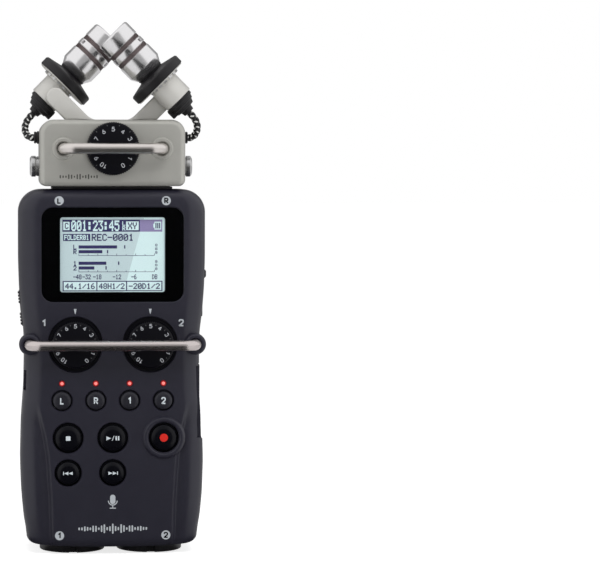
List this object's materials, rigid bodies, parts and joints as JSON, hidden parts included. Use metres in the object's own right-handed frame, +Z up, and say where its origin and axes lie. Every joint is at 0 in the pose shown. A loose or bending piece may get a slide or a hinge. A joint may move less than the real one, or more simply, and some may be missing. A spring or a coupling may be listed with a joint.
{
  "type": "portable field recorder",
  "caption": "Handheld audio recorder with display, gain knobs behind a guard bar, bottom combo jacks and a detachable crossed-pair microphone capsule.",
  "frame": {"origin": "middle of the footprint, on the plane of the two combo jack rims that it stands on", "axes": "+X to the viewer's right, +Y from the controls to the back, +Z up towards the microphones"},
  "size_m": [0.0675, 0.043, 0.1898],
  "materials": {
    "case": "fine matte texture",
    "black_plastic": "satin",
    "key_rubber": "satin",
    "lens": "high gloss",
    "lcd": "backlit",
    "lamp": "clear red",
    "bar_steel": "satin nickel",
    "board": "solder mask",
    "component": "moulded",
    "contact_metal": "plated spring steel",
    "socket_metal": "nickel plated",
    "brass": "turned",
    "cell": "printed sleeve",
    "card": "moulded",
    "screw": "black oxide",
    "capsule_paint": "satin silver paint",
    "arm_paint": "satin silver paint",
    "button_metal": "satin silver",
    "chrome": "bright",
    "rubber": "matt",
    "braid": "braided"
  },
  "bodies": {
    "recorder": {"front_case": "case", "rear_case": "case", "neck_boss": "black_plastic", "unit_connector": "component", "display_lens": "lens", "lcd_panel": "lcd", "led_light_pipes": "lamp", "body_guard_bar": "bar_steel", "main_board": "board", "gain_pots": "component", "key_switches": "component", "combo_jack_1": "black_plastic", "combo_jack_2": "black_plastic", "battery_tray": "black_plastic", "battery_cells": "cell", "battery_contacts": "contact_metal", "speaker_driver": "component", "tripod_insert": "brass", "audio_jacks": "black_plastic", "usb_socket": "socket_metal", "sd_socket": "socket_metal", "sd_card": "card", "case_screws": "screw"},
    "capsule": {"capsule_housing": "capsule_paint", "capsule_base": "black_plastic", "capsule_plug": "component", "capsule_guard_bar": "bar_steel", "level_pot": "component", "cable_grommets": "rubber", "mic_arm_left": "arm_paint", "mic_arm_right": "arm_paint", "shock_mounts": "rubber", "mic_barrel_left": "chrome", "mic_barrel_right": "chrome", "mic_elements": "component", "mic_boots": "rubber", "mic_cables": "braid"},
    "gain_knob_1": {"gain_knob_1": "black_plastic"},
    "gain_knob_2": {"gain_knob_2": "black_plastic"},
    "track_key_left": {"track_key_left": "key_rubber"},
    "track_key_right": {"track_key_right": "key_rubber"},
    "track_key_1": {"track_key_1": "key_rubber"},
    "track_key_2": {"track_key_2": "key_rubber"},
    "stop_key": {"stop_key": "key_rubber"},
    "play_key": {"play_key": "key_rubber"},
    "record_key": {"record_key": "key_rubber"},
    "rewind_key": {"rewind_key": "key_rubber"},
    "forward_key": {"forward_key": "key_rubber"},
    "power_slider": {"power_slider": "black_plastic"},
    "scroll_lever": {"scroll_lever": "black_plastic"},
    "menu_button": {"menu_button": "black_plastic"},
    "volume_dial": {"volume_dial": "black_plastic"},
    "sd_door": {"sd_door": "black_plastic"},
    "battery_cover": {"battery_cover": "case"},
    "combo_latch_1": {"combo_latch_1": "black_plastic"},
    "combo_latch_2": {"combo_latch_2": "black_plastic"},
    "level_knob": {"level_knob": "black_plastic"},
    "release_button_left": {"release_button_left": "button_metal"},
    "release_button_right": {"release_button_right": "button_metal"}
  },
  "joints": [
    {"name": "gain_1_turn", "type": "hinge", "parent": "recorder", "child": "gain_knob_1", "pos_m": [-0.01335, -0.0142, 0.0755], "axis": [0, -1, 0], "range_deg": [-150, 150]},
    {"name": "gain_2_turn", "type": "hinge", "parent": "recorder", "child": "gain_knob_2", "pos_m": [0.01335, -0.0142, 0.0755], "axis": [0, -1, 0], "range_deg": [-150, 150]},
    {"name": "track_key_left_press", "type": "slide", "parent": "recorder", "child": "track_key_left", "axis": [0, 1, 0], "range_m": [0, 0.0005], "stiffness_N_per_m": 600, "springref_m": -0.0012},
    {"name": "track_key_right_press", "type": "slide", "parent": "recorder", "child": "track_key_right", "axis": [0, 1, 0], "range_m": [0, 0.0005], "stiffness_N_per_m": 600, "springref_m": -0.0012},
    {"name": "track_key_1_press", "type": "slide", "parent": "recorder", "child": "track_key_1", "axis": [0, 1, 0], "range_m": [0, 0.0005], "stiffness_N_per_m": 600, "springref_m": -0.0012},
    {"name": "track_key_2_press", "type": "slide", "parent": "recorder", "child": "track_key_2", "axis": [0, 1, 0], "range_m": [0, 0.0005], "stiffness_N_per_m": 600, "springref_m": -0.0012},
    {"name": "stop_key_press", "type": "slide", "parent": "recorder", "child": "stop_key", "axis": [0, 1, 0], "range_m": [0, 0.0005], "stiffness_N_per_m": 600, "springref_m": -0.0012},
    {"name": "play_key_press", "type": "slide", "parent": "recorder", "child": "play_key", "axis": [0, 1, 0], "range_m": [0, 0.0005], "stiffness_N_per_m": 600, "springref_m": -0.0012},
    {"name": "record_key_press", "type": "slide", "parent": "recorder", "child": "record_key", "axis": [0, 1, 0], "range_m": [0, 0.0005], "stiffness_N_per_m": 600, "springref_m": -0.0012},
    {"name": "rewind_key_press", "type": "slide", "parent": "recorder", "child": "rewind_key", "axis": [0, 1, 0], "range_m": [0, 0.0005], "stiffness_N_per_m": 600, "springref_m": -0.0012},
    {"name": "forward_key_press", "type": "slide", "parent": "recorder", "child": "forward_key", "axis": [0, 1, 0], "range_m": [0, 0.0005], "stiffness_N_per_m": 600, "springref_m": -0.0012},
    {"name": "power_slide", "type": "slide", "parent": "recorder", "child": "power_slider", "axis": [-0.0941, 0, 0.9956], "range_m": [-0.0022, 0.0022]},
    {"name": "scroll_tilt", "type": "hinge", "parent": "recorder", "child": "scroll_lever", "pos_m": [0.026, -0.0018, 0.1003], "axis": [0, 1, 0], "range_deg": [-10, 10], "stiffness_Nm_per_rad": 0.02},
    {"name": "menu_press", "type": "slide", "parent": "recorder", "child": "menu_button", "axis": [-1, 0, 0], "range_m": [0, 0.0005], "stiffness_N_per_m": 600, "springref_m": -0.0012},
    {"name": "volume_turn", "type": "hinge", "parent": "recorder", "child": "volume_dial", "pos_m": [-0.0262, -0.0024, 0.103], "axis": [0, 1, 0], "range_deg": [-140, 140]},
    {"name": "card_door_swing", "type": "hinge", "parent": "recorder", "child": "sd_door", "pos_m": [0.0308, 0.001, 0.0545], "axis": [0, 0, 1], "range_deg": [0, 90]},
    {"name": "battery_cover_lift", "type": "slide", "parent": "recorder", "child": "battery_cover", "axis": [0, 1, 0], "range_m": [0, 0.012]},
    {"name": "combo_latch_1_push", "type": "slide", "parent": "recorder", "child": "combo_latch_1", "axis": [0, 0, 1], "range_m": [0, 0.0012], "stiffness_N_per_m": 400, "springref_m": -0.002},
    {"name": "combo_latch_2_push", "type": "slide", "parent": "recorder", "child": "combo_latch_2", "axis": [0, 0, 1], "range_m": [0, 0.0012], "stiffness_N_per_m": 400, "springref_m": -0.002},
    {"name": "capsule_lift", "type": "slide", "parent": "recorder", "child": "capsule", "axis": [0, 0, 1], "range_m": [0, 0.012]},
    {"name": "level_turn", "type": "hinge", "parent": "capsule", "child": "level_knob", "pos_m": [0, -0.0141, 0.145], "axis": [0, -1, 0], "range_deg": [-150, 150]},
    {"name": "release_left_press", "type": "slide", "parent": "capsule", "child": "release_button_left", "axis": [1, 0, 0], "range_m": [0, 0.0014], "stiffness_N_per_m": 500, "springref_m": -0.0015},
    {"name": "release_right_press", "type": "slide", "parent": "capsule", "child": "release_button_right", "axis": [-1, 0, 0], "range_m": [0, 0.0014], "stiffness_N_per_m": 500, "springref_m": -0.0015}
  ]
}
